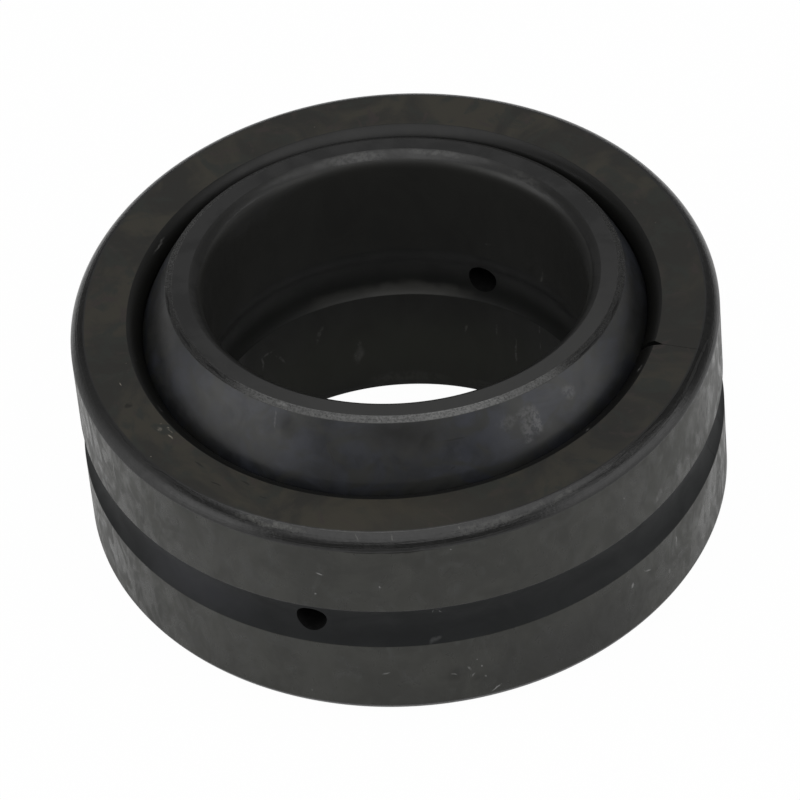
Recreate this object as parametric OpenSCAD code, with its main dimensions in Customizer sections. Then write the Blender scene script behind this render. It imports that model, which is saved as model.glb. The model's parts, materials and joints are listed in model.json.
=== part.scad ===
// Radial spherical plain bearing, steel on steel, in millimetres.
// A ground inner ring with a ball-shaped outside turns and tilts inside an outer ring
// whose raceway is a matching hollow sphere. The outer ring is cracked through at one
// place, so that it can be sprung open and snapped over the inner ring.
// The origin is the centre of the sphere and +Z is the axis of the bore. The bearing
// stands on the inner ring, and the outer ring leans until its lower edge is down too.

/* [Rings] */
// Diameter of the bore in the inner ring
bore_d = 25; // [20:0.5:40]
// Thickness of the inner ring at its middle, from the bore to the ball-shaped outside
inner_wall = 5.25; // [4.6:0.05:8]
// Gap between ball and raceway on the radius
raceway_gap = 0.05; // [0.02:0.01:0.1]
// Thickness of the outer ring at its middle, from the raceway to the outside
outer_wall = 3.2; // [2:0.05:6]
// Width of the inner ring between its end faces
inner_w = 20; // [18:0.5:22]
// Width of the outer ring between its end faces
outer_w = 16; // [12:0.5:17.5]

/* [Edges] */
// Leg of the crowned chamfer between outside diameter and end face
outer_edge = 0.9; // [0.5:0.05:1.2]
// Leg of the crowned chamfer between raceway and end face
raceway_edge = 0.95; // [0.5:0.05:1.2]
// Leg of the crowned chamfer between bore and end face
bore_edge = 0.8; // [0.3:0.05:0.9]
// Width that the chamfer on the ball takes off the end face
sphere_edge = 0.3; // [0.1:0.05:0.5]
// Radius of the crown on the chamfers
edge_crown = 1.5; // [1:0.1:4]

/* [Oil grooves and holes] */
// Width of the groove around the outer ring
outer_groove_w = 3.3; // [2:0.1:5]
// Depth of the groove around the outer ring
outer_groove_depth = 0.6; // [0.3:0.05:0.9]
// Width of the groove around the bore
bore_groove_w = 3.3; // [2:0.1:5]
// Depth of the groove around the bore
bore_groove_depth = 0.5; // [0.3:0.05:0.9]
// Number of oil holes in each ring
oil_holes = 2; // [1:1:4]
// Diameter of an oil hole
oil_hole_d = 2; // [1:0.1:2.5]
// Place of the first oil hole around the outer ring, in degrees from +X
outer_hole_turn = -95; // [-180:1:180]
// Place of the first oil hole around the inner ring, in degrees from +X
inner_hole_turn = 77; // [-180:1:180]

/* [Crack in the outer ring] */
// Place of the crack around the outer ring, in degrees from +X
crack_turn = -4; // [-180:1:180]
// Width of the crack
crack_w = 0.06; // [0.04:0.01:0.2]
// Width of the notch that starts the crack
notch_w = 0.4; // [0.2:0.05:0.8]
// Depth of the notch into the end face
notch_depth = 0.6; // [0.2:0.05:0.9]

/* [Hidden] */
$fn = 240;
// The radii follow one another from the bore outwards
bore_r = bore_d / 2;
sphere_r = bore_r + inner_wall;
raceway_r = sphere_r + raceway_gap;
outer_r = raceway_r + outer_wall;
// Where the raceway runs into its chamfer, and where that chamfer ends on the face
raceway_mouth_r = sqrt(raceway_r ^ 2 - (outer_w / 2 - raceway_edge) ^ 2);
raceway_face_r = raceway_mouth_r + raceway_edge;
outer_face_r = outer_r - outer_edge;
// Where the ball would meet the inner ring's end face, and the slope between the two
sphere_face_r = sqrt(sphere_r ^ 2 - (inner_w / 2) ^ 2);
sphere_edge_slope = atan(sphere_face_r / (inner_w / 2)) / 2;
// Lean at which the outer ring's lower edge is level with the inner ring's lower face
rest_tilt = asin(inner_w / 2 / norm([outer_face_r, outer_w / 2])) - atan(outer_w / 2 / outer_face_r);
// How far a cutter reaches past what it cuts
over = 1;

// Radius of a groove whose section is an arc of the given width and depth
function arc_r(width, depth) = ((width / 2) ^ 2 + depth ^ 2) / (2 * depth);

// What a crowned chamfer takes off a corner at the origin, with the metal below and left of it
module edge_cut(leg) {
    crown_at = -leg / 2 - sqrt(edge_crown ^ 2 / 2 - leg ^ 2 / 4);
    difference() {
        translate([-leg, -leg])
            square(leg + over);
        translate([crown_at, crown_at])
            circle(edge_crown);
    }
}

// Copies a section's upper half to its lower half
module both_faces() {
    for (side = [0, 1])
        mirror([0, side])
            children();
}

// Radial holes from the middle of the ring to past its outside
module oil_hole_cut(first_turn, reach) {
    for (i = [0 : oil_holes - 1])
        rotate([0, 0, first_turn + i * 360 / oil_holes])
            rotate([0, 90, 0])
                cylinder(d = oil_hole_d, h = reach);
}

module inner_section() {
    groove_r = arc_r(bore_groove_w, bore_groove_depth);
    difference() {
        intersection() {
            circle(sphere_r);
            translate([bore_r, -inner_w / 2])
                square([sphere_r, inner_w]);
        }
        both_faces() {
            translate([bore_r, inner_w / 2])
                mirror([1, 0])
                    edge_cut(bore_edge);
            translate([sphere_face_r - sphere_edge, inner_w / 2])
                rotate(-sphere_edge_slope)
                    square(sphere_edge + over);
        }
        translate([bore_r - groove_r + bore_groove_depth, 0])
            circle(groove_r);
    }
}

module outer_section() {
    groove_r = arc_r(outer_groove_w, outer_groove_depth);
    difference() {
        translate([raceway_mouth_r - over, -outer_w / 2])
            square([outer_r - raceway_mouth_r + over, outer_w]);
        circle(raceway_r);
        both_faces() {
            translate([outer_r, outer_w / 2])
                edge_cut(outer_edge);
            translate([raceway_mouth_r, outer_w / 2])
                mirror([1, 0])
                    edge_cut(raceway_edge);
        }
        translate([outer_r + groove_r - outer_groove_depth, 0])
            circle(groove_r);
    }
}

// The crack from raceway to outside, with the notch that starts it at the raceway
module crack_cut() {
    notch_end_r = raceway_face_r + notch_depth;
    rotate([0, 0, crack_turn])
        linear_extrude(outer_w + 2 * over, center = true)
            polygon([
                [raceway_mouth_r - 2 * over, -notch_w / 2],
                [raceway_face_r, -notch_w / 2],
                [notch_end_r, -crack_w / 2],
                [outer_r + over, -crack_w / 2],
                [outer_r + over, crack_w / 2],
                [notch_end_r, crack_w / 2],
                [raceway_face_r, notch_w / 2],
                [raceway_mouth_r - 2 * over, notch_w / 2]
            ]);
}

// One turned and ground ring: bore with oil groove, ball outside, narrow end faces
module inner_ring() {
    color([0.25, 0.26, 0.28])
        difference() {
            rotate_extrude()
                inner_section();
            oil_hole_cut(inner_hole_turn, sphere_r + over);
        }
}

// One ring with the hollow raceway inside and the oil groove outside, cracked at one place
module outer_ring() {
    color([0.19, 0.18, 0.16])
        rotate([rest_tilt, 0, 0])
            difference() {
                rotate_extrude()
                    outer_section();
                oil_hole_cut(outer_hole_turn, outer_r + over);
                crack_cut();
            }
}

inner_ring();
outer_ring();
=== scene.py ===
import json
import math

import bpy
import numpy as np
from mathutils import Matrix, Vector


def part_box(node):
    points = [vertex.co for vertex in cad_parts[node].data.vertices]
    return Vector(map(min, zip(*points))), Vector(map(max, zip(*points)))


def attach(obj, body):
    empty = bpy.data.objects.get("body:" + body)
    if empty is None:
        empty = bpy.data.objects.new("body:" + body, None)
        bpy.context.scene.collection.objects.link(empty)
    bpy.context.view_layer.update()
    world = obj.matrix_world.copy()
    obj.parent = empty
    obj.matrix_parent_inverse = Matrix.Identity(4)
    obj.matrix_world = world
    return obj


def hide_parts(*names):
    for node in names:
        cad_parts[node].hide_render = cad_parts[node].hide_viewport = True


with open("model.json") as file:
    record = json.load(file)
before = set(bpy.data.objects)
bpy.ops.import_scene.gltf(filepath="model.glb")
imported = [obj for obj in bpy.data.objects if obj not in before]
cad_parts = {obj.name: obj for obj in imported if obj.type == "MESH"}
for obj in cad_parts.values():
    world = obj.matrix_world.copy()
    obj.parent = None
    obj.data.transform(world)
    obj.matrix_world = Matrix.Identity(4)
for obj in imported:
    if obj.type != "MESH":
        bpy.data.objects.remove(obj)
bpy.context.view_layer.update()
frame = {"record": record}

# Inner ring: one ring of hardened bearing steel, turned, ground and then blackened. Its
# ball-shaped outside slides in the outer ring, and the bore, which takes the pin, has an
# oil groove around its middle with two radial holes that feed the ball.
mm = 0.001
mounts = {mount["name"]: mount for mount in frame["record"]["mounts"]}
inner_low, inner_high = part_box("inner_ring")
bore_r = mounts["shaft_bore"]["dims"]["r_mm"] * mm
ball_r = inner_high.x
inner_half = inner_high.z
bore_edge = inner_half - mounts["shaft_bore"]["dims"]["length_mm"] * mm / 2
ball_edge = 0.3 * mm
edge_crown = 1.5 * mm
bore_groove_w = 3.3 * mm
bore_groove_depth = 0.5 * mm
oil_hole_r = 1.0 * mm
oil_holes = 2
inner_hole_turn = 77
# Radii of the edges: sharp, softened, and where one surface runs into the next
crisp = 0.07 * mm
eased = 0.3 * mm
flowing = 2.0 * mm
steps_around = 360
drill_sides = 64
drill_reach = 1.2
finish_reach = 0.02 * mm
sharp_turn = 25


def arc(centre, radius, start, end, steps):
    """Points on an arc in a ring's section, with angles in degrees from the outward direction."""
    turns = np.radians(np.linspace(start, end, steps + 1))
    return [(centre[0] + radius * math.cos(t), centre[1] + radius * math.sin(t)) for t in turns]


def mirrored(points):
    """The same run on the lower half of a section, so that the section still goes one way round."""
    return [(r, -z) for r, z in reversed(points)]


def crowned_edge(corner, leg, inward, steps=12):
    """A crowned chamfer on the upper corner of a section, from the wall to the end face."""
    back = leg / 2 + math.sqrt(edge_crown ** 2 / 2 - leg ** 2 / 4)
    first_turn = math.degrees(math.asin((back - leg) / edge_crown))
    points = arc((-back, -back), edge_crown, first_turn, 90 - first_turn, steps)
    return [(corner[0] + (-x if inward else x), corner[1] + z) for x, z in points]


def groove_arc(wall_r, width, depth, inward, steps=24):
    """The arc of an oil groove across a section, from its upper lip to its lower lip."""
    radius = ((width / 2) ** 2 + depth ** 2) / (2 * depth)
    half = math.degrees(math.asin(width / 2 / radius))
    if inward:
        return arc((wall_r - radius + depth, 0), radius, half, -half, steps)
    return arc((wall_r + radius - depth, 0), radius, 180 - half, 180 + half, steps)


def shortened(run, cut):
    """A run of points with a length cut off its end."""
    points = [Vector(point) for point in run]
    while cut >= (points[-1] - points[-2]).length:
        cut -= (points[-1] - points[-2]).length
        points.pop()
    points[-1] = points[-1] - (points[-1] - points[-2]).normalized() * cut
    return points


def shortened_both(run, start_cut, end_cut):
    """A run of points with lengths cut off both its ends."""
    return shortened(shortened(run, end_cut)[::-1], start_cut)[::-1]


def rounded_section(runs):
    """Joins the runs of a closed section and rounds the edges between them.

    A run has its finish, its points, and the finish and radius of the edge at its end.
    Gives the points, and for each point the finish of the stretch that starts there.
    """
    cuts = []
    for i, (_, run, _, radius) in enumerate(runs):
        next_run = runs[(i + 1) % len(runs)][1]
        bend = (Vector(run[-1]) - Vector(run[-2])).angle(Vector(next_run[1]) - Vector(next_run[0]))
        cuts.append(radius * math.tan(bend / 2))
    kept = [shortened_both(run[1], cuts[i - 1], cuts[i]) for i, run in enumerate(runs)]
    points, finishes = [], []
    for i, (finish, _, edge_finish, _) in enumerate(runs):
        first, last = kept[i][-1], kept[(i + 1) % len(runs)][0]
        stretch = [kept[i][0], *shortened_both(kept[i], crisp / 2, crisp / 2), first]
        points += stretch
        finishes += [finish] * (len(stretch) - 1) + [edge_finish]
        into = (first - kept[i][-2]).normalized()
        out = (kept[(i + 1) % len(runs)][1] - last).normalized()
        corner = first + into * ((last - first).cross(out) / into.cross(out))
        for t in (0.2, 0.4, 0.6, 0.8):
            points.append(first * (1 - t) ** 2 + corner * 2 * t * (1 - t) + last * t ** 2)
            finishes.append(edge_finish)
    return points, finishes


def add(tree, kind, inputs=None, **settings):
    """One node with its settings, and its inputs as values or links."""
    node = tree.nodes.new(kind)
    for key, value in settings.items():
        setattr(node, key, value)
    for key, value in (inputs or {}).items():
        if isinstance(value, bpy.types.NodeSocket):
            tree.links.new(value, node.inputs[key])
        else:
            node.inputs[key].default_value = value
    return node


def maths(tree, operation, *values):
    """The result of a maths node."""
    return add(tree, "ShaderNodeMath", dict(enumerate(values)), operation=operation).outputs[0]


def vectors(tree, operation, *values, output=0):
    """A result of a vector maths node."""
    node = add(tree, "ShaderNodeVectorMath", dict(enumerate(values)), operation=operation)
    return node.outputs[output]


def joined(tree, **parts):
    """A vector from the parts that are given, and zero for the rest."""
    return add(tree, "ShaderNodeCombineXYZ", parts).outputs[0]


def new_tree(name, kind, inputs, outputs):
    """A node group with named inputs and outputs, and the sockets at its two ends."""
    tree = bpy.data.node_groups.new(name, kind)
    for socket, socket_kind in inputs:
        tree.interface.new_socket(socket, in_out="INPUT", socket_type="NodeSocket" + socket_kind)
    for socket, socket_kind in outputs:
        tree.interface.new_socket(socket, in_out="OUTPUT", socket_type="NodeSocket" + socket_kind)
    return tree, tree.nodes.new("NodeGroupInput").outputs, tree.nodes.new("NodeGroupOutput").inputs


def ring_tree(name, more_sizes=(), more_cutters=None):
    """Turns a section about Z, drills the oil holes through it and makes any further cuts."""
    sizes = [
        ("Geometry", "Geometry"), ("Turning radius", "Float"), ("Steps around", "Int"),
        ("Hole radius", "Float"), ("Holes", "Int"), ("First hole", "Float"), ("Hole reach", "Float"),
        ("Finish", "Material"), *more_sizes]
    tree, given, result = new_tree(name, "GeometryNodeTree", sizes, [("Geometry", "Geometry")])
    path = add(tree, "GeometryNodeCurvePrimitiveCircle", {
        "Resolution": given["Steps around"], "Radius": given["Turning radius"]})
    upright = add(tree, "GeometryNodeSetCurveNormal", {"Curve": path.outputs[0]}, mode="Z_UP")
    section = add(tree, "GeometryNodeMeshToCurve", {"Mesh": given["Geometry"]})
    ring = add(tree, "GeometryNodeCurveToMesh", {
        "Curve": upright.outputs[0], "Profile Curve": section.outputs[0]})

    drill = add(tree, "GeometryNodeMeshCylinder", {
        "Vertices": drill_sides, "Radius": given["Hole radius"], "Depth": given["Hole reach"]})
    drill = add(tree, "GeometryNodeTransform", {
        "Geometry": drill.outputs[0],
        "Translation": joined(tree, Z=maths(tree, "DIVIDE", given["Hole reach"], 2.0))})
    step = maths(tree, "DIVIDE", math.tau, given["Holes"])
    index = add(tree, "GeometryNodeInputIndex").outputs[0]
    turn = maths(tree, "MULTIPLY_ADD", index, step, given["First hole"])
    points = add(tree, "GeometryNodePoints", {"Count": given["Holes"]})
    drills = add(tree, "GeometryNodeInstanceOnPoints", {
        "Points": points.outputs[0], "Instance": drill.outputs[0],
        "Rotation": joined(tree, Y=math.pi / 2, Z=turn)})
    drills = add(tree, "GeometryNodeRealizeInstances", {"Geometry": drills.outputs[0]})

    cut = add(tree, "GeometryNodeMeshBoolean", {"Mesh 1": ring.outputs[0]},
              operation="DIFFERENCE", solver="MANIFOLD")
    tree.links.new(drills.outputs[0], cut.inputs["Mesh 2"])
    for cutter in more_cutters(tree, given) if more_cutters else ():
        tree.links.new(cutter, cut.inputs["Mesh 2"])
    real = add(tree, "GeometryNodeRealizeInstances", {"Geometry": cut.outputs[0]})
    done = add(tree, "GeometryNodeSetMaterial", {
        "Geometry": real.outputs[0], "Material": given["Finish"]})
    tree.links.new(done.outputs[0], result["Geometry"])
    return tree


def new_object(name, data):
    """An object in the scene, at the origin."""
    thing = bpy.data.objects.new(name, data)
    bpy.context.scene.collection.objects.link(thing)
    return thing


def make_ring(name, tree, section, section_finishes, finishes, sizes):
    """A plain mesh object from the ring's tree, each face with the finish of its stretch."""
    base = bpy.data.meshes.new(name + "_section")
    count = len(section)
    base.from_pydata([(r - sizes["Turning radius"], -z, 0) for r, z in section],
                     [(i, (i + 1) % count) for i in range(count)], [])
    maker = new_object(name + "_maker", base)
    modifier = maker.modifiers.new("turning", "NODES")
    modifier.node_group = tree
    inputs = [item for item in tree.interface.items_tree if item.in_out == "INPUT"]
    sockets = {item.name: item.identifier for item in inputs}
    for key, value in sizes.items():
        modifier[sockets[key]] = value
    mesh = bpy.data.meshes.new_from_object(maker.evaluated_get(bpy.context.evaluated_depsgraph_get()))
    maker.modifiers.remove(modifier)
    bpy.data.objects.remove(maker)
    mesh.name = name
    mesh.materials.clear()
    for finish in finishes.values():
        mesh.materials.append(finish)

    centres = np.empty(len(mesh.polygons) * 3)
    mesh.polygons.foreach_get("center", centres)
    centres = centres.reshape(-1, 3)
    flat = np.column_stack([np.hypot(centres[:, 0], centres[:, 1]), centres[:, 2]])
    start = np.array([tuple(point) for point in section])
    along = np.roll(start, -1, axis=0) - start
    t = ((flat[:, None] - start) * along).sum(2) / (along ** 2).sum(1)
    gap = np.linalg.norm(flat[:, None] - start - np.clip(t, 0, 1)[:, :, None] * along, axis=2)
    slots = list(finishes)
    index = np.array([slots.index(finish) for finish in section_finishes])[gap.argmin(1)]
    # A face away from the section's outline is the wall of a hole or a cut
    index[gap.min(1) > finish_reach] = slots.index("cut")
    mesh.polygons.foreach_set("material_index", index.astype(np.int32))
    mesh.polygons.foreach_set("use_smooth", np.ones(len(mesh.polygons), bool))
    mesh.set_sharp_from_angle(angle=math.radians(sharp_turn))
    return new_object(name, mesh)


def blend(tree, mask, under, over):
    """The colour under, covered by the colour over where the mask is."""
    return add(tree, "ShaderNodeMix", {0: mask, 6: under, 7: over}, data_type="RGBA").outputs[2]


def ramp(tree, value, low, high):
    """Zero at low and one at high, with a soft start and end."""
    return add(tree, "ShaderNodeMapRange", {0: value, 1: low, 2: high},
               interpolation_type="SMOOTHSTEP").outputs[0]


def between(tree, share, start, end):
    """A value that goes from start to end with the share."""
    return add(tree, "ShaderNodeMix", {0: share, 2: start, 3: end}).outputs[0]


def ring_place_group():
    """Places on a ring in millimetres, with its lean taken off, and the way a tool runs around it."""
    drift = (0.07, 0.1, 0.0)
    tree, given, result = new_tree("ring place", "ShaderNodeTree", [("Lean", "Float")],
                                   [("Place", "Vector"), ("Around", "Vector")])
    upright = joined(tree, X=maths(tree, "MULTIPLY", given["Lean"], -1.0))
    place = add(tree, "ShaderNodeMapping", {
        "Vector": add(tree, "ShaderNodeTexCoord").outputs["Object"],
        "Rotation": upright, "Scale": (1 / mm, 1 / mm, 1 / mm)}).outputs[0]
    part = add(tree, "ShaderNodeSeparateXYZ", {0: place}).outputs
    radius = vectors(tree, "LENGTH", joined(tree, X=part["X"], Y=part["Y"]), output="Value")
    slow = vectors(tree, "DOT_PRODUCT", place, drift, output="Value")
    tree.links.new(place, result["Place"])
    tree.links.new(joined(tree, X=radius, Y=part["Z"], Z=slow), result["Around"])
    return tree


def oxide_clouds_group():
    """Cloudy, stretched patches where the blackening took, over a share of the surface."""
    tree, given, result = new_tree("oxide clouds", "ShaderNodeTree", [
        ("Place", "Vector"), ("Stretch", "Vector"), ("Share", "Float"), ("Soft", "Float"),
        ("Twist", "Float")], [("Mask", "Float")])
    spot = vectors(tree, "MULTIPLY", given["Place"], given["Stretch"])
    noise = add(tree, "ShaderNodeTexNoise", {
        "Vector": spot, "Scale": 1.0, "Detail": 6.0, "Roughness": 0.6,
        "Distortion": given["Twist"]}).outputs[0]
    # A bigger share lets the patches start at a lower level of the noise
    middle = maths(tree, "MULTIPLY_ADD", given["Share"], -0.5, 0.75)
    low = maths(tree, "SUBTRACT", middle, given["Soft"])
    high = maths(tree, "ADD", middle, given["Soft"])
    tree.links.new(ramp(tree, noise, low, high), result["Mask"])
    return tree


def tool_lines_group():
    """Fine lines that turning and grinding leave around a ring."""
    tree, given, result = new_tree("tool lines", "ShaderNodeTree", [
        ("Around", "Vector"), ("Pitch", "Float")], [("Height", "Float")])
    step = maths(tree, "DIVIDE", 1.0, given["Pitch"])
    spot = vectors(tree, "MULTIPLY", given["Around"], joined(tree, X=step, Y=step, Z=1.0))
    noise = add(tree, "ShaderNodeTexNoise", {
        "Vector": spot, "Scale": 1.0, "Detail": 3.0, "Roughness": 0.7}).outputs[0]
    tree.links.new(noise, result["Height"])
    return tree


def dust_specks_group():
    """Light specks of dust and tiny nicks, some of them bigger than others."""
    tree, given, result = new_tree("dust specks", "ShaderNodeTree", [
        ("Place", "Vector"), ("Spacing", "Float"), ("Size", "Float"), ("Share", "Float")],
        [("Mask", "Float")])
    cells = add(tree, "ShaderNodeTexVoronoi", {
        "Vector": given["Place"], "Scale": maths(tree, "DIVIDE", 1.0, given["Spacing"])}).outputs
    chance = add(tree, "ShaderNodeSeparateColor", {0: cells["Color"]}).outputs
    size = maths(tree, "MULTIPLY", maths(tree, "POWER", chance[1], 3.0), given["Size"])
    size = maths(tree, "DIVIDE", size, given["Spacing"])
    near = ramp(tree, cells["Distance"], size, maths(tree, "MULTIPLY", size, 0.5))
    kept = maths(tree, "LESS_THAN", chance[0], given["Share"])
    tree.links.new(maths(tree, "MULTIPLY", near, kept), result["Mask"])
    return tree


def hair_scratches_group():
    """Short straight scratches in all directions, each a thin slice through its own cell."""
    tree, given, result = new_tree("hair scratches", "ShaderNodeTree", [
        ("Place", "Vector"), ("Spacing", "Float"), ("Length", "Float"), ("Width", "Float"),
        ("Share", "Float")], [("Mask", "Float")])
    cells = add(tree, "ShaderNodeTexVoronoi", {
        "Vector": given["Place"], "Scale": maths(tree, "DIVIDE", 1.0, given["Spacing"])}).outputs
    middle = add(tree, "ShaderNodeVectorMath", {
        0: cells["Position"], "Scale": given["Spacing"]}, operation="SCALE").outputs[0]
    away = vectors(tree, "SUBTRACT", given["Place"], middle)
    slice_way = vectors(tree, "NORMALIZE", vectors(tree, "SUBTRACT", cells["Color"], (0.5, 0.5, 0.5)))
    beside = maths(tree, "ABSOLUTE", vectors(tree, "DOT_PRODUCT", away, slice_way, output="Value"))
    thin = ramp(tree, beside, given["Width"], 0.0)
    half = maths(tree, "MULTIPLY", given["Length"], 0.5)
    short = ramp(tree, vectors(tree, "LENGTH", away, output="Value"), half,
                 maths(tree, "MULTIPLY", half, 0.6))
    chance = add(tree, "ShaderNodeSeparateColor", {0: cells["Color"]}).outputs[2]
    kept = maths(tree, "LESS_THAN", chance, given["Share"])
    line = maths(tree, "MULTIPLY", maths(tree, "MULTIPLY", thin, short), kept)
    tree.links.new(line, result["Mask"])
    return tree


def spot_mark_group():
    """One spot at a set place, turned with the ring's wall: a rub, scuff or stain, and on some finishes
    painted highlight and painted shade.
    """
    tree, given, result = new_tree("spot mark", "ShaderNodeTree", [
        ("Place", "Vector"), ("Centre", "Vector"), ("Turn", "Vector"), ("Reach", "Vector"),
        ("Core", "Float"), ("Strength", "Float")], [("Mask", "Float")])
    spot = add(tree, "ShaderNodeMapping", {
        "Vector": given["Place"], "Location": given["Centre"], "Rotation": given["Turn"],
        "Scale": given["Reach"]}, vector_type="TEXTURE").outputs[0]
    inside = ramp(tree, vectors(tree, "LENGTH", spot, output="Value"), 1.0, given["Core"])
    tree.links.new(maths(tree, "MULTIPLY", inside, given["Strength"]), result["Mask"])
    return tree


ring_place = ring_place_group()
oxide_clouds = oxide_clouds_group()
tool_lines = tool_lines_group()
dust_specks = dust_specks_group()
hair_scratches = hair_scratches_group()
spot_mark = spot_mark_group()


def placed(tree, group, **inputs):
    """A shader group in a material, with its own values."""
    return add(tree, "ShaderNodeGroup", inputs, node_tree=group).outputs


def mark(turn, radius, height, reach, slant=0, strength=1.0, core=0.35):
    """A mark on a ring: turn in degrees, place and reach (out, around, up) in millimetres."""
    a = math.radians(turn)
    return dict(Centre=(radius * math.cos(a), radius * math.sin(a), height),
                Turn=(math.radians(slant), 0, a), Reach=reach, Core=core, Strength=strength)


def soft_mark(turn, radius, height, reach, slant=0, strength=1.0):
    """A mark that thins out from its middle, for soft stains and for painted highlights and painted
    shade.
    """
    return mark(turn, radius, height, reach, slant, strength, 0.0)


def marked(tree, place, marks, waver):
    """One mask for all marks in a list, with outlines that waver."""
    wander = add(tree, "ShaderNodeTexNoise", {
        "Vector": place, "Scale": 0.8, "Detail": 2.0}).outputs["Color"]
    both_ways = vectors(tree, "SUBTRACT", wander, (0.5, 0.5, 0.5))
    shift = vectors(tree, "MULTIPLY", both_ways, (waver, waver, waver))
    loose = vectors(tree, "ADD", place, shift)
    mask = 0.0
    for one in marks:
        mask = maths(tree, "MAXIMUM", mask, placed(tree, spot_mark, Place=loose, **one)["Mask"])
    return mask


few_specks = dict(Spacing=1.6, Size=0.05, Share=0.2)
more_specks = dict(Spacing=0.9, Size=0.05, Share=0.25)
few_hairs = dict(Spacing=3.5, Length=1.5, Width=0.02, Share=0.2)
more_hairs = dict(Spacing=2.2, Length=1.2, Width=0.025, Share=0.3)
# Heights of the tool lines where dark oxide starts to fill them and where it fills them
ink_start = 0.46
ink_full = 0.36
# How far the outlines of marks waver, in millimetres
stain_waver = 1.5
rub_waver = 0.8
score_waver = 0.3


def blackened(name, ring_lean, dark, light, clouds, rough, tints=(), gloss=(), shine=0.5,
              pitch=0.09, line_depth=0.3, line_ink=0.0, grain_size=0.12, grain_depth=0.5, bump=0.004,
              specks=few_specks, hairs=few_hairs, faded_and_painted_light=(0.05, 0.05, 0.05), fades_and_painted_light=(),
              stain=(0.003, 0.003, 0.0026), stains=(), scores=(),
              worn_and_highlight=(0.16, 0.16, 0.155), worn_rough=0.34, rubs_and_highlights=(),
              scuff_size=0.3, scuff_way=(1, 1, 1), scuff=(0.34, 0.6)):
    """Blackened steel: cloudy oxide over fine tool lines, with dust, scratches and marks, some of which
    are painted highlights and painted shade.
    """
    material = bpy.data.materials.new(name)
    material.use_nodes = True
    tree = material.node_tree
    shader = tree.nodes["Principled BSDF"]
    spot = placed(tree, ring_place, Lean=ring_lean)
    place = spot["Place"]
    cloud = placed(tree, oxide_clouds, Place=place, **clouds)["Mask"]
    colour = blend(tree, cloud, (*dark, 1), (*light, 1))
    for tint, tint_clouds in tints:
        patches = placed(tree, oxide_clouds, Place=place, **tint_clouds)["Mask"]
        colour = blend(tree, patches, colour, (*tint, 1))
    lines = placed(tree, tool_lines, Around=spot["Around"], Pitch=pitch)["Height"]
    if line_ink:
        ink = maths(tree, "MULTIPLY", ramp(tree, lines, ink_start, ink_full), line_ink)
        colour = blend(tree, ink, colour, (*stain, 1))
    smooth = 1.0 if gloss else cloud
    for gloss_clouds in gloss:
        patches = placed(tree, oxide_clouds, Place=place, **gloss_clouds)["Mask"]
        smooth = maths(tree, "MULTIPLY", smooth, patches)
    dull = between(tree, smooth, rough[0], rough[1])
    # Fades lay another colour over wide areas; some are painted shade and some are painted light.
    if fades_and_painted_light:
        colour = blend(tree, marked(tree, place, fades_and_painted_light, rub_waver), colour, (*faded_and_painted_light, 1))
    for dark_marks, waver in ((stains, stain_waver), (scores, score_waver)):
        if dark_marks:
            stained = marked(tree, place, dark_marks, waver)
            colour = blend(tree, stained, colour, (*stain, 1))
            dull = between(tree, stained, dull, 1.0)
    dust = placed(tree, dust_specks, Place=place, **specks)["Mask"]
    damage_and_highlight = maths(tree, "MAXIMUM", dust, placed(tree, hair_scratches, Place=place, **hairs)["Mask"])
    # Rubs lighten the colour; some of them are painted highlights.
    if rubs_and_highlights:
        scuffs = add(tree, "ShaderNodeTexNoise", {
            "Vector": vectors(tree, "MULTIPLY", place, scuff_way), "Scale": 1 / scuff_size,
            "Detail": 4.0, "Roughness": 0.65}).outputs[0]
        rubbed_and_highlight = marked(tree, place, rubs_and_highlights, rub_waver)
        rubbed_and_highlight = maths(tree, "MULTIPLY", rubbed_and_highlight, ramp(tree, scuffs, *scuff))
        damage_and_highlight = maths(tree, "MAXIMUM", damage_and_highlight, rubbed_and_highlight)
        dull = between(tree, rubbed_and_highlight, dull, worn_rough)
    tree.links.new(blend(tree, damage_and_highlight, colour, (*worn_and_highlight, 1)), shader.inputs["Base Color"])
    tree.links.new(dull, shader.inputs["Roughness"])
    grain = add(tree, "ShaderNodeTexNoise", {
        "Vector": place, "Scale": 1 / grain_size, "Detail": 3.0, "Roughness": 0.6}).outputs[0]
    height = maths(tree, "MULTIPLY", lines, line_depth)
    height = maths(tree, "MULTIPLY_ADD", grain, grain_depth, height)
    height = maths(tree, "ADD", height, dust)
    relief = add(tree, "ShaderNodeBump", {"Strength": 1.0, "Distance": bump * mm, "Height": height})
    tree.links.new(relief.outputs[0], shader.inputs["Normal"])
    shader.inputs["Specular IOR Level"].default_value = shine
    return material


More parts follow.
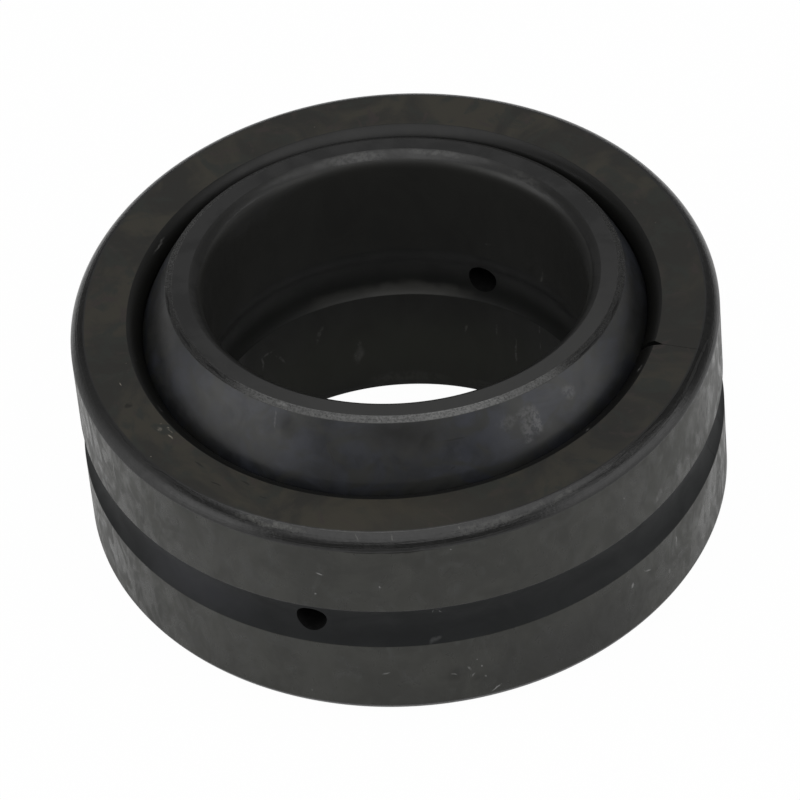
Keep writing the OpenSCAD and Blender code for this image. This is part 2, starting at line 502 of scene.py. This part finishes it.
# The narrow strip slopes down from the end face until it meets the ball
ball_face_r = math.sqrt(ball_r ** 2 - inner_half ** 2)
strip_slope = math.atan(ball_face_r / inner_half) / 2
strip_in = Vector((ball_face_r - ball_edge, inner_half))
strip_way = Vector((math.cos(strip_slope), -math.sin(strip_slope)))
strip_near = -strip_in.dot(strip_way)
strip_len = strip_near + math.sqrt(strip_near ** 2 - strip_in.length_squared + ball_r ** 2)
strip = [tuple(strip_in), tuple(strip_in + strip_way * strip_len)]
ball_top = math.degrees(math.asin(strip[1][1] / ball_r))
bore_chamfer = crowned_edge((bore_r, inner_half), bore_edge, True)
bore_lips = groove_arc(bore_r, bore_groove_w, bore_groove_depth, True)
inner_face = [bore_chamfer[-1], strip[0]]
inner_section, inner_names = rounded_section([
    ("bore_edge", bore_chamfer, "face", crisp),
    ("face", inner_face, "edge", crisp),
    ("strip", strip, "edge", crisp),
    ("ball", arc((0, 0), ball_r, ball_top, -ball_top, 56), "edge", crisp),
    ("strip", mirrored(strip), "edge", crisp),
    ("face", mirrored(inner_face), "face", crisp),
    ("bore_edge", mirrored(bore_chamfer), "bore", flowing),
    ("bore", [(bore_r, -bore_chamfer[0][1]), bore_lips[-1]], "groove", crisp),
    ("groove", bore_lips[::-1], "groove", flowing),
    ("bore", [bore_lips[0], bore_chamfer[0]], "bore", flowing),
])
even = dict(Stretch=(0.4, 0.4, 0.4), Share=0.5, Soft=0.2, Twist=0.5)
fine = dict(Stretch=(2.5, 2.5, 2.5), Share=0.5, Soft=0.1, Twist=0.5)
chipped = dict(Stretch=(0.7, 0.7, 0.7), Share=0.55, Soft=0.25, Twist=1.0)
# One finish for each stretch of the section, with marks at the places that the photo shows
inner_finishes = {
    "ball": blackened(
        "ball_satin", 0.0, (0.012, 0.0131, 0.0158), (0.0205, 0.0226, 0.0298),
        dict(Stretch=(0.2, 0.2, 0.3), Share=0.5, Soft=0.1, Twist=1.2), rough=(0.42, 0.32),
        tints=[
            ((0.0165, 0.017, 0.0158), dict(Stretch=(0.3, 0.3, 0.4), Share=0.45, Soft=0.08, Twist=2.0))],
        gloss=[dict(Stretch=(0.5, 0.5, 0.6), Share=0.5, Soft=0.15, Twist=2.0)],
        pitch=0.15, line_depth=0.15, grain_depth=0.3, worn_and_highlight=(0.1, 0.1, 0.103), scuff_size=0.25,
        rubs_and_highlights=[
            mark(-44.6, 15.7, 8.2, (1.5, 0.6, 1.2), 10, 0.7),
            mark(-46.8, 15.9, 7.9, (1.5, 0.6, 1.0), -15, 0.5),
            mark(-46, 15.4, 8.8, (1.5, 1.0, 0.4), 0, 0.5),
            mark(-51.5, 15.5, 8.6, (1.5, 1.1, 0.6), 0, 0.25),
            mark(-47.5, 16.25, 7.15, (1.5, 0.5, 0.3), 0, 0.4),
            mark(-33.4, 15.5, 8.65, (1.5, 0.7, 0.5), -15, 0.5),
            mark(-108, 15.2, 9.1, (1.5, 0.1, 0.7), 15, 0.5)],
        stain=(0.005, 0.005, 0.0042),
        stains=[
            soft_mark(-78, 15.1, 9.2, (2.5, 5.0, 2.0), 0, 0.7),
            soft_mark(-87, 15.3, 9.0, (1.5, 2.2, 1.3), 20, 0.5),
            soft_mark(-71, 15.5, 8.7, (2.0, 2.6, 1.6), 30, 0.7),
            soft_mark(-104, 15.3, 8.9, (1.5, 0.7, 1.2), 30, 0.4)],
        faded_and_painted_light=(0.0066, 0.0066, 0.0062),
        fades_and_painted_light=[
            soft_mark(-158, 15.3, 9, (5, 7, 4), 0, 0.85), soft_mark(3, 15.6, 8.4, (5, 6, 4), 0, 0.85),
            soft_mark(-75, 15.1, 9.2, (2.5, 3.6, 1.8), 0, 0.9),
            # These three fades darken the ball along the outer ring's edge: painted shade from the gap
            # between the rings.
            soft_mark(-80, 16.8, 5.4, (3, 16, 1.8), 0, 0.45),
            soft_mark(-130, 16.4, 6.6, (3, 11, 1.8), 0, 0.7),
            soft_mark(-30, 16.5, 6.6, (3, 11, 1.8), 0, 0.7)],
        scores=[
            mark(-93, 16.0, 7.7, (1.0, 0.07, 1.0), 25, 0.5),
            mark(-64.5, 15.6, 8.5, (1.0, 1.0, 0.08), 0, 0.6),
            mark(-66, 16.4, 6.9, (1.0, 0.25, 0.08), 20, 0.6),
            mark(-65, 17.0, 5.4, (1.0, 1.2, 0.07), -10, 0.5)]),
    "strip": blackened(
        "ball_edge_turned", 0.0, (0.007, 0.007, 0.0068), (0.019, 0.019, 0.0184),
        dict(Stretch=(5.0, 5.0, 5.0), Share=0.5, Soft=0.12, Twist=0.5), rough=(0.34, 0.24),
        line_depth=0.8, line_ink=0.5, grain_size=0.2, bump=0.06, specks=more_specks,
        worn_and_highlight=(0.15, 0.15, 0.147), scuff_size=0.16, scuff=(0.15, 0.7),
        rubs_and_highlights=[
            # The broad marks along the front are partly a painted highlight on the strip and partly real
            # scuffs.
            mark(-107.8, 14.6, 10, (0.3, 0.6, 0.3)), mark(-113, 14.6, 10, (0.1, 0.8, 0.3), 0, 0.7),
            mark(-108, 14.6, 10, (3.0, 4.5, 1.0), 0, 0.6), mark(-92, 14.6, 10, (3.0, 5.0, 1.0), 0, 0.65),
            mark(-76, 14.6, 10, (3.0, 5.0, 1.0), 0, 0.8), mark(-62, 14.6, 10, (3.0, 5.0, 1.0), 0, 0.95),
            mark(-46, 14.6, 10, (3.0, 5.0, 1.0), 0, 0.65)],
        stain=(0.002, 0.002, 0.002),
        scores=[
            mark(-160, 14.7, 9.9, (0.12, 2.4, 0.3)), mark(-145, 14.6, 9.9, (0.1, 2.0, 0.3)),
            mark(-130, 14.6, 9.9, (0.1, 1.8, 0.3)), mark(-22, 14.7, 9.9, (0.1, 2.6, 0.3)),
            mark(-5, 14.7, 9.9, (0.12, 2.2, 0.3))]),
    "face": blackened(
        "narrow_face_ground", 0.0, (0.0072, 0.0073, 0.0073), (0.0135, 0.0135, 0.0134),
        dict(Stretch=(0.25, 0.25, 0.25), Share=0.5, Soft=0.08, Twist=1.0), rough=(0.42, 0.34),
        pitch=0.08, line_depth=0.5, specks=more_specks, faded_and_painted_light=(0.027, 0.027, 0.0262),
        fades_and_painted_light=[mark(-60, 13.9, 10, (20, 22, 3))],
        rubs_and_highlights=[mark(48.5, 14.35, 10, (0.06, 0.3, 0.3)), mark(46.4, 13.13, 10, (0.06, 0.2, 0.3))]),
    "bore_edge": blackened(
        "bore_edge_turned", 0.0, (0.007, 0.007, 0.0065), (0.0115, 0.0115, 0.011),
        dict(Stretch=(0.5, 0.5, 0.5), Share=0.5, Soft=0.1, Twist=1.5), rough=(0.42, 0.28),
        bump=0.02, specks=more_specks, worn_and_highlight=(0.09, 0.09, 0.087),
        rubs_and_highlights=[
            # These marks on the far side's upper edge are partly a painted highlight and partly real
            # rubs.
            mark(60, 12.9, 9.7, (1.0, 1.6, 0.5), 0, 0.3), mark(113, 12.9, 9.8, (1.0, 3.0, 0.4), 0, 0.4),
            mark(90, 12.9, 9.85, (1.0, 3.0, 0.2), 0, 0.4)]),
    "bore": blackened(
        "bore_black", 0.0, (0.0152, 0.0152, 0.0138), (0.0208, 0.0208, 0.0189),
        dict(Stretch=(0.3, 0.3, 0.2), Share=0.5, Soft=0.2, Twist=1.0), rough=(0.5, 0.4),
        worn_and_highlight=(0.1, 0.1, 0.093), stain=(0.008, 0.008, 0.0075),
        stains=[
            soft_mark(150, 12.6, 9.0, (1.5, 6.0, 1.6), 0, 0.6),
            soft_mark(22, 12.6, 9.0, (1.5, 7.0, 1.6), 0, 0.6)],
        # The lighter lower half of the bore and its far lower lip are painted light, standing in for
        # light from the floor below.
        faded_and_painted_light=(0.0305, 0.0324, 0.0228),
        fades_and_painted_light=[mark(90, 0, -6.5, (20, 20, 6)), mark(95, 12.5, -9.0, (1.5, 9.0, 0.8), 0, 0.6)],
        rubs_and_highlights=[
            mark(151.3, 12.5, -3.65, (0.5, 0.12, 0.9)),
            mark(147.9, 12.5, -3.1, (0.5, 0.8, 0.14), 0, 0.8),
            mark(143.5, 12.5, -4.3, (0.5, 0.13, 0.9), -35, 0.8),
            mark(116.8, 12.5, -6.4, (0.5, 0.5, 0.9), 20, 0.6),
            mark(116, 12.5, -5.6, (0.5, 0.25, 0.6), 0, 0.5),
            mark(128.8, 12.5, -3.7, (0.5, 0.2, 0.9), 25, 0.6),
            mark(82.2, 12.5, -4.27, (0.5, 0.13, 0.5), 15, 0.6),
            mark(71.5, 12.5, -3.6, (0.5, 0.13, 0.5), 0, 0.6),
            mark(55.6, 12.5, -2, (0.5, 0.1, 0.5), 0, 0.7),
            mark(65.4, 12.5, -5, (0.5, 0.13, 1.4), 0, 0.8),
            mark(55.2, 12.5, -3.46, (0.5, 0.1, 0.5), 0, 0.6),
            mark(73.1, 12.5, 3.44, (0.5, 0.3, 0.15), 0, 0.4),
            mark(65, 12.5, 1.95, (0.5, 1.1, 0.15), 8, 0.6),
            mark(53, 12.5, 2.61, (0.5, 0.1, 0.7), 10, 0.8),
            mark(102, 12.5, -8.8, (0.5, 6.0, 0.6), 0, 0.25),
            mark(75, 12.5, -8.8, (0.5, 3.0, 0.5), 0, 0.2)]),
    "groove": blackened(
        "bore_groove_black", 0.0, (0.01, 0.0106, 0.0099), (0.0145, 0.015, 0.0139), even,
        # The lighter lower half of the groove on the far side is a painted highlight on its upward-facing
        # lip.
        rough=(0.42, 0.36), faded_and_painted_light=(0.045, 0.045, 0.0415),
        fades_and_painted_light=[mark(100, 12.8, -1.5, (1.5, 7.0, 0.9)), mark(118, 12.8, -1.5, (1.5, 5.0, 0.8), 0, 0.6)]),
    "edge": blackened(
        "inner_edges_worn", 0.0, (0.0025, 0.0025, 0.0025), (0.035, 0.035, 0.034), chipped,
        rough=(0.4, 0.3)),
    "cut": blackened(
        "oil_hole_black", 0.0, (0.006, 0.006, 0.006), (0.009, 0.009, 0.009), fine,
        rough=(0.55, 0.5), shine=0.2),
}
inner_ring = make_ring(
    "inner_ring_ground", ring_tree("turned ring"), inner_section, inner_names, inner_finishes, {
        "Turning radius": (bore_r + ball_r) / 2, "Steps around": steps_around,
        "Hole radius": oil_hole_r, "Holes": oil_holes, "First hole": math.radians(inner_hole_turn),
        "Hole reach": drill_reach * ball_r, "Finish": inner_finishes["ball"]})
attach(inner_ring, "inner_ring")
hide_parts("inner_ring")

# Outer ring: one ring of the same steel with a hollow raceway inside, blackened to a brown
# black on its faces. It is cracked through at one place, from a small notch, so that it can
# be sprung open and snapped over the inner ring. It leans at rest.
seat = mounts["housing_seat"]
face_mount = mounts["outer_upper_face"]
outer_r = seat["dims"]["r_mm"] * mm
lean = math.atan2(-seat["axis"][1], seat["axis"][2])
raceway_gap = 0.05 * mm
raceway_r = ball_r + raceway_gap
outer_half = Vector(face_mount["pos_m"]).dot(Vector(face_mount["axis"]))
outer_edge = outer_half - seat["dims"]["length_mm"] * mm / 2
raceway_edge = 0.95 * mm
outer_groove_w = 3.3 * mm
outer_groove_depth = 0.6 * mm
outer_hole_turn = -95
crack_turn = -4
crack_w = 0.02 * mm
notch_w = 0.4 * mm
notch_depth = 0.6 * mm


def crack_cutters(tree, given):
    """A thin slot from the raceway to the outside, and the notch that starts it at the raceway."""
    # How far the cutters reach, in widths of the ring and in radii of the notch's start
    past_faces = 1.2
    past_raceway = 0.8
    past_outside = 1.4
    # A three-sided cylinder of radius 1 is this long, and its base is a third of that behind its
    # middle. The middle is set a touch further in, so that the vee overlaps the notch
    vee_length = 1.5
    vee_middle = 0.33
    across = maths(tree, "MULTIPLY", given["Ring width"], past_faces)
    turned = joined(tree, Z=given["Crack place"])
    inside = maths(tree, "MULTIPLY", given["Notch start"], past_raceway)
    outside = maths(tree, "MULTIPLY", given["Notch start"], past_outside)
    cutters = []
    for end, width in ((outside, given["Crack width"]), (given["Notch start"], given["Notch width"])):
        length = maths(tree, "SUBTRACT", end, inside)
        box = add(tree, "GeometryNodeMeshCube", {"Size": joined(tree, X=length, Y=width, Z=across)})
        middle = joined(tree, X=maths(tree, "MULTIPLY_ADD", length, 0.5, inside))
        cutters.append(add(tree, "GeometryNodeTransform", {
            "Geometry": box.outputs[0], "Translation": middle}).outputs[0])
    vee = add(tree, "GeometryNodeMeshCylinder", {"Vertices": 3, "Radius": 1.0, "Depth": 1.0})
    slim = joined(tree, X=maths(tree, "DIVIDE", given["Notch depth"], vee_length),
                  Y=maths(tree, "DIVIDE", given["Notch width"], math.sqrt(3)), Z=across)
    start = maths(tree, "MULTIPLY_ADD", given["Notch depth"], vee_middle, given["Notch start"])
    cutters.append(add(tree, "GeometryNodeTransform", {
        "Geometry": vee.outputs[0], "Translation": joined(tree, X=start), "Scale": slim}).outputs[0])
    return [add(tree, "GeometryNodeTransform", {"Geometry": cutter, "Rotation": turned}).outputs[0]
            for cutter in cutters]


mouth_r = math.sqrt(raceway_r ** 2 - (outer_half - raceway_edge) ** 2)
mouth_turn = math.degrees(math.asin((outer_half - raceway_edge) / raceway_r))
outer_chamfer = crowned_edge((outer_r, outer_half), outer_edge, False)
mouth_chamfer = crowned_edge((mouth_r, outer_half), raceway_edge, True)
outer_lips = groove_arc(outer_r, outer_groove_w, outer_groove_depth, False)
outer_face = [mouth_chamfer[-1], outer_chamfer[-1]]
outer_section, outer_names = rounded_section([
    ("raceway_edge", mouth_chamfer, "raceway_edge", crisp),
    ("face", outer_face, "edge", eased),
    ("outer_edge", outer_chamfer[::-1], "outer_edge", eased),
    ("outside", [outer_chamfer[0], outer_lips[0]], "lip", crisp),
    ("groove", outer_lips, "outside", crisp),
    ("outside", [outer_lips[-1], (outer_r, -outer_chamfer[0][1])], "outer_edge", eased),
    ("outer_edge", mirrored(outer_chamfer)[::-1], "edge", eased),
    ("face", mirrored(outer_face), "raceway_edge", crisp),
    ("raceway_edge", mirrored(mouth_chamfer), "raceway_edge", eased),
    ("raceway", arc((0, 0), raceway_r, -mouth_turn, mouth_turn, 48), "raceway_edge", eased),
])
outer_finishes = {
    "outside": blackened(
        "outside_clouded", lean, (0.026, 0.0263, 0.0225), (0.036, 0.0364, 0.0314),
        dict(Stretch=(0.25, 0.25, 0.22), Share=0.5, Soft=0.1, Twist=1.0), rough=(0.48, 0.22),
        tints=[((0.039, 0.04, 0.0365), dict(Stretch=(0.5, 0.5, 0.4), Share=0.28, Soft=0.1, Twist=1.6))],
        gloss=[
            dict(Stretch=(0.9, 0.9, 0.4), Share=0.5, Soft=0.14, Twist=1.2),
            dict(Stretch=(0.28, 0.28, 0.24), Share=0.6, Soft=0.12, Twist=1.5)],
        specks=more_specks, hairs=more_hairs, worn_and_highlight=(0.22, 0.22, 0.216), worn_rough=0.2,
        scuff_way=(1, 1, 0.3), scuff=(0.29, 0.54),
        rubs_and_highlights=[
            # The soft marks near the left and right edges paint highlights over real streaks; the thin
            # marks are real scratches.
            soft_mark(-6, 21, 4.8, (0.8, 4.0, 3.4), 0, 0.26),
            soft_mark(-11, 21, -4.8, (0.8, 3.6, 3.6), 0, 0.22),
            soft_mark(-20, 21, 2.6, (0.8, 0.5, 1.2), 0, 0.3),
            soft_mark(-156, 21, 4.6, (0.8, 4.0, 3.0), 0, 0.22),
            soft_mark(-134, 21, 5.35, (0.5, 1.0, 1.0), 0, 0.25),
            mark(-137.9, 21, 5.2, (0.5, 0.08, 1.2), 0, 0.5),
            soft_mark(-146, 21, 3.5, (0.5, 1.4, 1.6), 0, 0.25),
            mark(-69.1, 21, 6.76, (0.5, 0.08, 0.08)),
            mark(-92.1, 21, 4.87, (0.5, 0.3, 0.07)), mark(-93.2, 21, 3.0, (0.5, 0.08, 0.1)),
            mark(-81.9, 21, 3.94, (0.5, 0.07, 0.07)), mark(-82.1, 21, -4.14, (0.5, 0.3, 0.06), 20, 0.6),
            mark(-67.8, 21, -4.3, (0.5, 0.07, 0.3), 25, 0.7),
            mark(-70.5, 21, -4.7, (0.5, 0.3, 0.06), -30, 0.6),
            mark(-65.4, 21, -4.4, (0.5, 0.08, 0.12)), mark(-67.2, 21, -5.0, (0.5, 0.06, 0.25), -35, 0.7),
            mark(-95.8, 21, -6.2, (0.5, 0.08, 0.08)), mark(-66.5, 21, -3.78, (0.5, 0.08, 0.1)),
            mark(-64.7, 21, -5.4, (0.5, 0.1, 0.1)), mark(-63.5, 21, -6.7, (0.5, 0.5, 0.08), 35),
            mark(-26.8, 21, 2.6, (0.5, 0.5, 0.35), 30, 0.4), mark(-35.4, 21, 5, (0.5, 0.08, 0.08)),
            mark(-31, 21, -2.9, (0.5, 0.5, 0.08), -40, 0.8),
            mark(-22.6, 21, -2.9, (0.5, 0.1, 0.5), 0, 0.7),
            mark(-35, 21, -3.3, (0.5, 0.08, 0.3), 0, 0.7),
            mark(-24.9, 21, -4.9, (0.5, 0.08, 0.4), 0, 0.7)],
        stain=(0.006, 0.006, 0.0056),
        stains=[
            soft_mark(-70, 21, -4.7, (1.0, 1.3, 0.8), 20, 0.35),
            soft_mark(-66, 21, -5.4, (1.0, 0.9, 0.7), 0, 0.35)],
        scores=[mark(-80, 20.98, 7.02, (0.4, 8.5, 0.12), 0, 0.7)],
        faded_and_painted_light=(0.014, 0.014, 0.0126), fades_and_painted_light=[soft_mark(-47, 21, -5.5, (2, 12, 5), 0, 0.75)],
        shine=0.31),
    "face": blackened(
        "broad_face_brown", lean, (0.0105, 0.0098, 0.007), (0.0255, 0.0225, 0.0145),
        dict(Stretch=(0.15, 0.15, 0.15), Share=0.5, Soft=0.08, Twist=1.0), rough=(0.42, 0.36),
        tints=[
            ((0.0125, 0.0142, 0.0105), dict(Stretch=(0.3, 0.3, 0.3), Share=0.36, Soft=0.06, Twist=2.0)),
            ((0.0225, 0.0165, 0.014), dict(Stretch=(0.45, 0.45, 0.4), Share=0.26, Soft=0.06, Twist=2.0))],
        specks=more_specks, worn_and_highlight=(0.22, 0.2, 0.165), faded_and_painted_light=(0.036, 0.031, 0.02),
        fades_and_painted_light=[soft_mark(-78, 18.5, 8, (4, 9, 2), 0, 0.45)],
        rubs_and_highlights=[
            mark(-149.9, 18.57, 8, (0.06, 0.2, 0.3)), mark(-134.2, 17.92, 8, (0.25, 0.3, 0.3), 0, 0.5),
            mark(-133.1, 17.46, 8, (0.1, 0.15, 0.3), 0, 0.7), mark(118.5, 18.25, 8, (0.07, 0.1, 0.3)),
            mark(-131, 17.9, 8, (0.07, 0.3, 0.3), 0, 0.8),
            mark(-135.5, 17.6, 8, (0.1, 0.1, 0.3), 0, 0.7),
            mark(-132.2, 17.6, 8, (0.05, 0.35, 0.3), 0, 0.8)],
        stains=[
            mark(-144, 18.65, 8, (0.3, 0.4, 0.3), 0, 0.7), soft_mark(-36, 18.5, 8, (4, 6, 2), 0, 0.3)],
        scores=[
            mark(-121, 18.2, 8, (0.09, 0.5, 0.3), 0, 0.6), mark(-115, 18.9, 8, (0.08, 0.6, 0.3), 0, 0.6),
            mark(-110, 17.9, 8, (0.1, 0.5, 0.3), 0, 0.6),
            mark(-105, 18.5, 8, (0.08, 0.4, 0.3), 0, 0.5)]),
    "outer_edge": blackened(
        "outer_edge_turned", lean, (0.004, 0.004, 0.0038), (0.013, 0.013, 0.0126),
        dict(Stretch=(3.0, 3.0, 0.9), Share=0.4, Soft=0.2, Twist=0.5), rough=(0.22, 0.14), pitch=0.12,
        line_depth=0.6, line_ink=0.7, grain_size=0.2, bump=0.03, specks=more_specks, hairs=more_hairs,
        worn_and_highlight=(0.09, 0.09, 0.082), scuff_size=0.35,
        rubs_and_highlights=[
            mark(-62, 20.5, 7.75, (0.4, 3.5, 0.3), 0, 0.35),
            mark(-101, 20.35, 7.85, (0.4, 3.0, 0.2), 0, 0.6),
            mark(-67.4, 20.5, 7.78, (0.4, 0.08, 0.08)), mark(-85, 20.5, 7.7, (0.4, 0.06, 0.4), 10, 0.8),
            mark(-79, 20.5, 7.7, (0.4, 0.06, 0.4), 10, 0.6),
            mark(-50, 20.4, 7.8, (0.3, 2.5, 0.2), 0, 0.4)],
        stains=[mark(-142, 20.6, 7.6, (3, 13, 3), 0, 0.3)],
        scores=[
            mark(-122, 20.2, 7.95, (0.08, 4.0, 0.2), 0, 0.8),
            mark(-138, 20.25, 7.92, (0.08, 3.0, 0.2), 0, 0.7),
            mark(-80, 20.95, 7.2, (0.3, 8.5, 0.14), 0, 0.7),
            mark(-8, 20.4, 7.8, (0.1, 4.0, 0.2), 0, 0.7),
            mark(-30, 20.3, 7.9, (0.08, 4.0, 0.2), 0, 0.7)]),
    "groove": blackened(
        "oil_groove_smooth", lean, (0.0048, 0.0057, 0.0062), (0.0074, 0.0084, 0.0089),
        dict(Stretch=(0.3, 0.3, 0.5), Share=0.5, Soft=0.2, Twist=0.8), rough=(0.66, 0.56),
        faded_and_painted_light=(0.022, 0.023, 0.027), fades_and_painted_light=[soft_mark(-119, 20.6, -0.3, (2, 8, 2.5), 0, 0.9)],
        worn_and_highlight=(0.16, 0.16, 0.16), scuff=(0.2, 0.5),
        rubs_and_highlights=[
            mark(-73.1, 20.5, 1.0, (0.5, 0.05, 0.3), -25, 0.9),
            mark(-71.9, 20.5, 0.95, (0.5, 0.05, 0.3), 30, 0.9),
            mark(-72.4, 20.5, 1.25, (0.5, 0.4, 0.05), 10, 0.8),
            mark(-73, 20.6, -1.5, (0.5, 0.5, 0.2), 0, 0.3)],
        shine=0.27),
    "raceway_edge": blackened(
        "raceway_edge_turned", lean, (0.0025, 0.0025, 0.002), (0.004, 0.004, 0.0033), even,
        rough=(0.4, 0.34),
        rubs_and_highlights=[
            mark(-157, 16.9, 7.6, (0.12, 0.5, 0.4), 0, 0.5),
            mark(167, 16.9, 7.6, (0.1, 1.2, 0.4), 0, 0.4),
            mark(-140, 17.0, 7.6, (0.12, 0.5, 0.4), 0, 0.5),
            mark(-20, 17.0, 7.6, (0.12, 0.4, 0.4), 0, 0.5),
            mark(-33, 17.1, 7.7, (0.1, 0.5, 0.4), 0, 0.6),
            mark(-12, 17.1, 7.7, (0.1, 0.6, 0.4), 0, 0.5)],
        shine=0.37),
    "raceway": blackened(
        "raceway_ground", lean, (0.0025, 0.0025, 0.0025), (0.004, 0.004, 0.004), even,
        rough=(0.42, 0.36)),
    "lip": blackened(
        "groove_lip_worn", lean, (0.008, 0.008, 0.0077), (0.05, 0.05, 0.048), chipped,
        rough=(0.36, 0.26)),
    "edge": blackened(
        "outer_edges_worn_and_highlit", lean, (0.006, 0.006, 0.0058), (0.013, 0.013, 0.0125), chipped,
        rough=(0.36, 0.3), worn_and_highlight=(0.06, 0.06, 0.058), worn_rough=0.26, scuff_size=1.2, scuff=(0.25, 0.6),
        # The broad mark along the front paints a highlight on this edge; the chipped patches are real.
        rubs_and_highlights=[mark(-86, 20.1, 8, (4, 15, 1), 0, 0.8, 0.3)]),
    "cut": blackened(
        "cut_black", lean, (0.006, 0.006, 0.006), (0.009, 0.009, 0.009), fine,
        rough=(0.55, 0.5), shine=0.2),
}
outer_ring = make_ring(
    "outer_ring_blackened", ring_tree("cracked ring", [
        ("Crack place", "Float"), ("Crack width", "Float"), ("Notch start", "Float"),
        ("Notch width", "Float"), ("Notch depth", "Float"), ("Ring width", "Float")], crack_cutters),
    outer_section, outer_names, outer_finishes, {
        "Turning radius": (raceway_r + outer_r) / 2, "Steps around": steps_around,
        "Hole radius": oil_hole_r, "Holes": oil_holes, "First hole": math.radians(outer_hole_turn),
        "Hole reach": drill_reach * outer_r, "Finish": outer_finishes["outside"],
        "Crack place": math.radians(crack_turn), "Crack width": crack_w,
        "Notch start": mouth_chamfer[-1][0], "Notch width": notch_w, "Notch depth": notch_depth,
        "Ring width": 2 * outer_half})
outer_ring.data.transform(Matrix.Rotation(lean, 4, "X"))
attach(outer_ring, "outer_ring")
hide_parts("outer_ring")

# Floor: a plain white sheet under the bearing, almost burnt out to white as in a product
# photo. The round patch inside the bore gives little light back, so the bore stays dark.
floor_reach = 3.0
floor_gap = 0.02 * mm
floor_z = inner_low.z - floor_gap
seen_white = 0.985
glossy_white = 0.3
# Inside the bore the sheet is a painted shadow: darker paper, and no white in its reflections.
bore_shadow_paper = (0.4, 0.4, 0.4, 1)
open_paper = (0.9, 0.9, 0.9, 1)
floor_mesh = bpy.data.meshes.new("floor")
floor_mesh.from_pydata(
    [(x * floor_reach, y * floor_reach, floor_z) for x, y in ((-1, -1), (1, -1), (1, 1), (-1, 1))],
    [], [(0, 1, 2, 3)])
floor = new_object("floor", floor_mesh)
sheet = bpy.data.materials.new("white_sheet")
sheet.use_nodes = True
tree = sheet.node_tree
tree.nodes.clear()
rays = add(tree, "ShaderNodeLightPath").outputs
spot = add(tree, "ShaderNodeTexCoord").outputs["Object"]
part = add(tree, "ShaderNodeSeparateXYZ", {0: spot}).outputs
from_axis = vectors(tree, "LENGTH", joined(tree, X=part["X"], Y=part["Y"]), output="Value")
open_floor = ramp(tree, from_axis, bore_r, outer_r)
glossy = maths(tree, "MAXIMUM", rays["Is Glossy Ray"], rays["Is Transmission Ray"])
mirrored_share = maths(tree, "MULTIPLY", maths(tree, "MULTIPLY", glossy, glossy_white), open_floor)
seen_share = maths(tree, "MULTIPLY", rays["Is Camera Ray"], seen_white)
paper_with_shadow = blend(tree, open_floor, bore_shadow_paper, open_paper)
matt = add(tree, "ShaderNodeBsdfDiffuse", {"Color": paper_with_shadow})
white = add(tree, "ShaderNodeEmission", {"Color": (1, 1, 1, 1), "Strength": 1.0})
both = add(tree, "ShaderNodeMixShader", {
    0: maths(tree, "MAXIMUM", seen_share, mirrored_share), 1: matt.outputs[0], 2: white.outputs[0]})
add(tree, "ShaderNodeOutputMaterial", {"Surface": both.outputs[0]})
floor_mesh.materials.append(sheet)

# Lights: a big soft box above the camera's side, two weaker panels to the left and right of
# the camera, and a dim panel behind, in a pale room.
room_light = 0.17
world = bpy.data.worlds.new("studio")
world.use_nodes = True
bpy.context.scene.world = world
background = world.node_tree.nodes["Background"].inputs
background["Color"].default_value = (1, 1, 1, 1)
background["Strength"].default_value = room_light


def softbox(name, place, aim, width, height, watts):
    """A rectangular lamp at a place, turned towards its aim."""
    lamp = bpy.data.lights.new(name, "AREA")
    lamp.shape = "RECTANGLE"
    lamp.size = width
    lamp.size_y = height
    lamp.energy = watts
    holder = new_object(name, lamp)
    holder.location = place
    holder.rotation_mode = "QUATERNION"
    holder.rotation_quaternion = (Vector(place) - Vector(aim)).to_track_quat("Z", "Y")


softbox("overhead", (0.15, -0.55, 0.8), (0.15, -0.55, 0), width=1.2, height=1.4, watts=7.0)
softbox("left_front", (-0.72, -0.42, 0.25), (0, 0, 0), width=0.85, height=0.5, watts=1.95)
softbox("right_front", (0.83, -0.1, 0.24), (0, 0, 0), width=0.9, height=0.5, watts=1.8)
softbox("behind", (-0.15, 0.75, 0.8), (0, 0, 0), width=1.2, height=0.8, watts=0.75)

# Camera: a long lens in front of the bearing and above it, fitted to the outline, edges and
# holes in the photo, with the photo's slight roll.
azimuth = math.radians(13.86)
elevation = math.radians(39.31)
roll = math.radians(-3.53)
distance = 415.274 * mm
focal_length = 286.07
sensor_w = 36.0
near_clip = 0.05
far_clip = 10
aim = Vector((-0.0835, -0.2971, -0.3279)) * mm
back = Vector((math.sin(azimuth) * math.cos(elevation), -math.cos(azimuth) * math.cos(elevation),
               math.sin(elevation)))
level = Vector((0, 0, 1)).cross(back).normalized()
right = level * math.cos(roll) + back.cross(level) * math.sin(roll)
lens = bpy.data.cameras.new("camera")
lens.sensor_width = sensor_w
lens.lens = focal_length
lens.clip_start = near_clip
lens.clip_end = far_clip
camera = new_object("camera", lens)
turn = Matrix((right, back.cross(right), back)).transposed()
camera.matrix_world = Matrix.Translation(aim + back * distance) @ turn.to_4x4()
bpy.context.scene.camera = camera
bpy.context.scene.view_settings.view_transform = "Standard"
